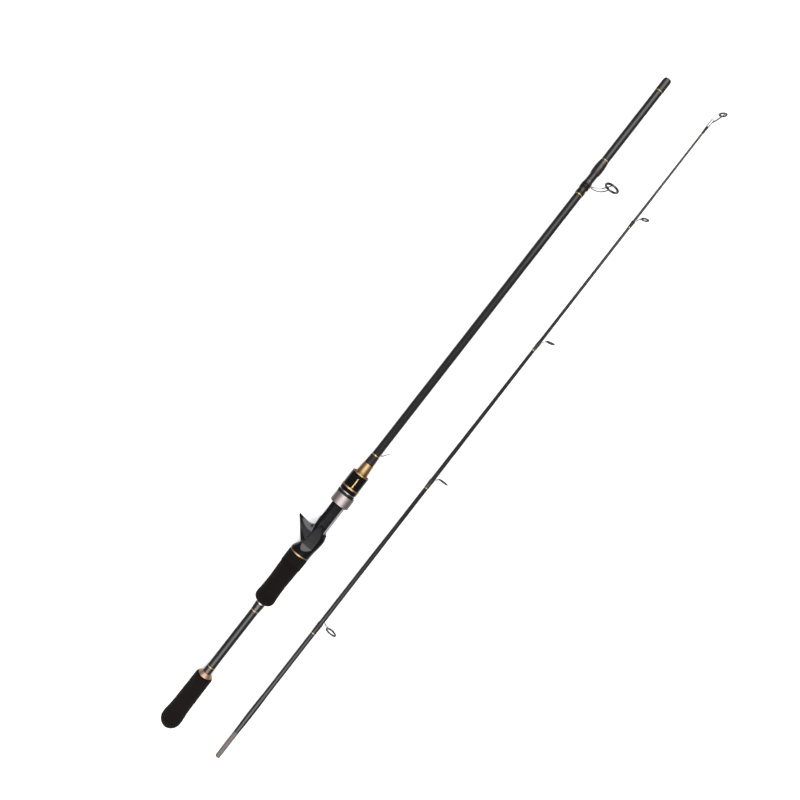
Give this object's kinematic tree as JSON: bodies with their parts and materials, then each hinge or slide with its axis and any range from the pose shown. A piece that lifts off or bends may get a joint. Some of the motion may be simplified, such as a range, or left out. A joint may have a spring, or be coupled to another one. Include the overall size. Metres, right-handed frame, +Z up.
{
  "type": "baitcasting fishing rod",
  "caption": "Trigger-grip fishing rod taken apart: handle section with foam grips, reel seat, sliding hood and large guide, beside a slim tip section with ring guides.",
  "frame": {"origin": "middle of the bounding box's underside, on the ground both sections lie on", "axes": "+X along both sections towards the tip, +Y to the side the trigger points to, +Z up"},
  "size_m": [0.9434, 0.119, 0.0252],
  "materials": {
    "carbon_blank": "gloss clear coat over dark grey carbon",
    "tip_carbon": "gloss clear coat over dark grey carbon, spigot ground matt",
    "eva_foam": "matt fine-celled foam",
    "rose_gold": "satin anodised",
    "gold_metal": "brushed",
    "gold_thread": "metallic thread under gloss epoxy",
    "wrap_thread": "dark brown thread under gloss epoxy",
    "bright_check": "polished",
    "seat_black": "gloss moulded",
    "hood_metal": "brushed, slightly pink",
    "inner_black": "satin moulded",
    "nut_black": "piano gloss",
    "arbor_foam": "hard foam bush",
    "guide_steel": "polished stainless wire",
    "ring_ceramic": "polished dark ceramic"
  },
  "bodies": {
    "butt_section": {"butt_band": "gold_thread", "butt_blank": "carbon_blank", "butt_grip": "eva_foam", "butt_grip_collar": "rose_gold", "butt_guide_frame": "guide_steel", "butt_guide_front_band": "gold_thread", "butt_guide_front_wrap": "wrap_thread", "butt_guide_insert": "ring_ceramic", "butt_guide_rear_band": "gold_thread", "butt_guide_rear_wrap": "wrap_thread", "butt_wrap": "wrap_thread", "ferrule_band": "gold_thread", "ferrule_wrap": "carbon_blank", "fore_band": "gold_thread", "fore_wrap": "wrap_thread", "front_check": "gold_metal", "keeper_foot": "guide_steel", "rear_grip": "eva_foam", "rear_grip_band": "gold_thread", "rear_grip_check": "bright_check", "rear_grip_wrap": "wrap_thread", "reel_seat": "seat_black", "seat_arbor_front": "arbor_foam", "seat_arbor_rear": "arbor_foam", "seat_ring": "gold_metal"},
    "sliding_hood": {"hood_shell": "hood_metal", "hood_liner": "inner_black", "hood_spacer": "bright_check"},
    "lock_nut": {"nut_barrel": "nut_black", "nut_rear_ring": "gold_metal", "nut_front_ring": "gold_metal", "nut_inlays": "gold_metal"},
    "keeper_loop": {"keeper_loop": "guide_steel"},
    "tip_section": {"guide_1_band": "gold_thread", "guide_1_frame": "guide_steel", "guide_1_insert": "ring_ceramic", "guide_1_wrap": "wrap_thread", "guide_2_band": "gold_thread", "guide_2_frame": "guide_steel", "guide_2_insert": "ring_ceramic", "guide_2_wrap": "wrap_thread", "guide_3_band": "gold_thread", "guide_3_frame": "guide_steel", "guide_3_insert": "ring_ceramic", "guide_3_wrap": "wrap_thread", "guide_4_band": "gold_thread", "guide_4_frame": "guide_steel", "guide_4_insert": "ring_ceramic", "guide_4_wrap": "wrap_thread", "tip_blank": "tip_carbon", "tip_ferrule_wrap": "tip_carbon", "tip_top_band": "gold_thread", "tip_top_frame": "guide_steel", "tip_top_insert": "ring_ceramic", "tip_top_wrap": "wrap_thread"}
  },
  "joints": [
    {"name": "hood_slide", "type": "slide", "parent": "butt_section", "child": "sliding_hood", "axis": [1, 0, 0], "range_m": [-0.00601, 0.00801]},
    {"name": "nut_spin", "type": "hinge", "parent": "sliding_hood", "child": "lock_nut", "pos_m": [-0.12147, 0.032, 0.0126], "axis": [1, 0, 0], "range_deg": [-1440, 1920]},
    {"name": "keeper_swing", "type": "hinge", "parent": "butt_section", "child": "keeper_loop", "pos_m": [-0.07871, 0.0254, 0.0126], "axis": [0, 0, 1], "range_deg": [-140, 40]},
    {"name": "tip_section_slide", "type": "slide", "parent": "butt_section", "child": "tip_section", "axis": [1, 0, 0], "range_m": [0, 0.98]}
  ],
  "couplings": [
    {"joint": "hood_slide", "follows": "nut_spin", "m_per_rad": 0.00023873}
  ]
}
